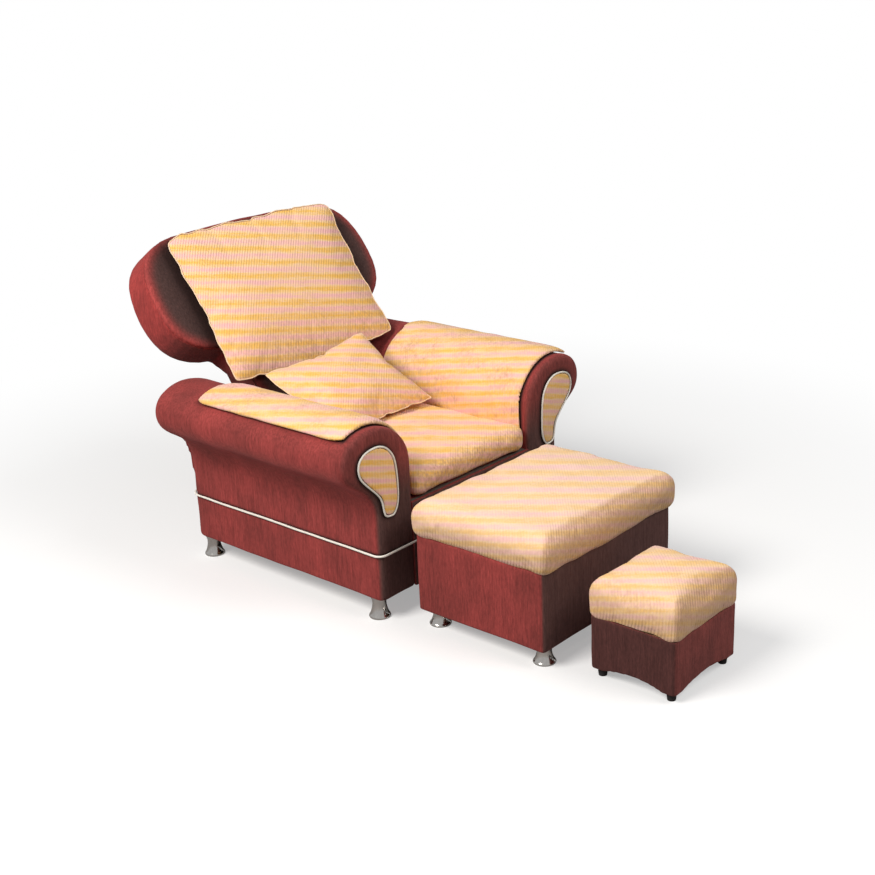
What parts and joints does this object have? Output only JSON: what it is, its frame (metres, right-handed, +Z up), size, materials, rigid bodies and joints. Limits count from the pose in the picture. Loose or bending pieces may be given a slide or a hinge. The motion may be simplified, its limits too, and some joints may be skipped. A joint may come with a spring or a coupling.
{
  "type": "reflexology chair",
  "caption": "Scroll-arm reclining armchair with a winged back and a lumbar pillow, with its matching footrest ottoman and a low stool, for foot treatment in a salon or spa.",
  "frame": {"origin": "on the floor, at the middle of the whole set's footprint", "axes": "+Z up, -Y the way the sitter faces, from the chair to the ottoman and the stool, +X to the sitter's left"},
  "size_m": [1.1414, 2.1041, 1.0675],
  "materials": {
    "red_fabric": "woven, matte",
    "deep_red_fabric": "woven, matte",
    "cream_fabric": "woven, matte, with soft yellow and pink bands",
    "white_piping": "smooth cord",
    "chrome": "polished",
    "steel": "zinc plated",
    "wood": "sawn, bare",
    "webbing": "woven band and felt",
    "dust_cloth": "thin non-woven",
    "black_plastic": "matte"
  },
  "bodies": {
    "chair_base": {"front_rail": "wood", "rear_rail": "wood", "seat_rear_rail": "wood", "seat_side_rails": "wood", "corner_blocks": "wood", "seat_springs": "steel", "spring_clips": "steel", "seat_deck": "webbing", "dust_cover": "dust_cloth", "front_border": "deep_red_fabric", "rear_panel": "deep_red_fabric", "left_arm_frame": "wood", "right_arm_frame": "wood", "left_base_board": "wood", "right_base_board": "wood", "left_arm_cover": "red_fabric", "right_arm_cover": "red_fabric", "left_arm_pad": "cream_fabric", "right_arm_pad": "cream_fabric", "left_facing": "cream_fabric", "right_facing": "cream_fabric", "left_facing_piping": "white_piping", "right_facing_piping": "white_piping", "base_piping": "white_piping", "seat_cushion": "cream_fabric", "foot_front_left": "chrome", "foot_front_right": "chrome", "foot_rear_left": "chrome", "foot_rear_right": "chrome", "foot_studs": "steel", "left_hinge_plate": "steel", "right_hinge_plate": "steel", "hinge_pins": "steel", "hinge_screws": "steel", "pawls": "steel"},
    "backrest": {"ratchet_wheels": "steel", "back_stiles": "wood", "back_rails": "wood", "back_wing_boards": "wood", "back_webbing": "webbing", "back_front_pad": "deep_red_fabric", "back_rear_shell": "red_fabric", "back_cushion": "cream_fabric", "left_hinge_arm": "steel", "right_hinge_arm": "steel"},
    "lumbar_pillow": {"lumbar_pillow": "cream_fabric"},
    "ottoman": {"ottoman_boards": "wood", "ottoman_top_board": "wood", "ottoman_bottom_board": "wood", "ottoman_cover": "red_fabric", "ottoman_cushion": "cream_fabric", "ottoman_foot_1": "chrome", "ottoman_foot_2": "chrome", "ottoman_foot_3": "chrome", "ottoman_foot_4": "chrome", "ottoman_studs": "steel"},
    "stool": {"stool_boards": "wood", "stool_cover": "deep_red_fabric", "stool_cushion": "cream_fabric", "stool_feet": "black_plastic"}
  },
  "joints": [
    {"name": "back_recline", "type": "hinge", "parent": "chair_base", "child": "backrest", "pos_m": [0, 0.60856, 0.5], "axis": [-1, 0, 0], "range_deg": [-15, 30]},
    {"name": "pillow_slide", "type": "slide", "parent": "chair_base", "child": "lumbar_pillow", "axis": [0, 1, 0], "range_m": [-0.038, 0.075]},
    {"name": "ottoman_slide", "type": "slide", "parent": "chair_base", "child": "ottoman", "axis": [0, 1, 0], "range_m": [-0.045, 0.06]},
    {"name": "stool_slide", "type": "slide", "parent": "chair_base", "child": "stool", "axis": [0, 1, 0], "range_m": [-0.3, 0.04]}
  ],
  "couplings": [
    {"joint": "pillow_slide", "follows": "back_recline", "m_per_rad": 0.14}
  ]
}
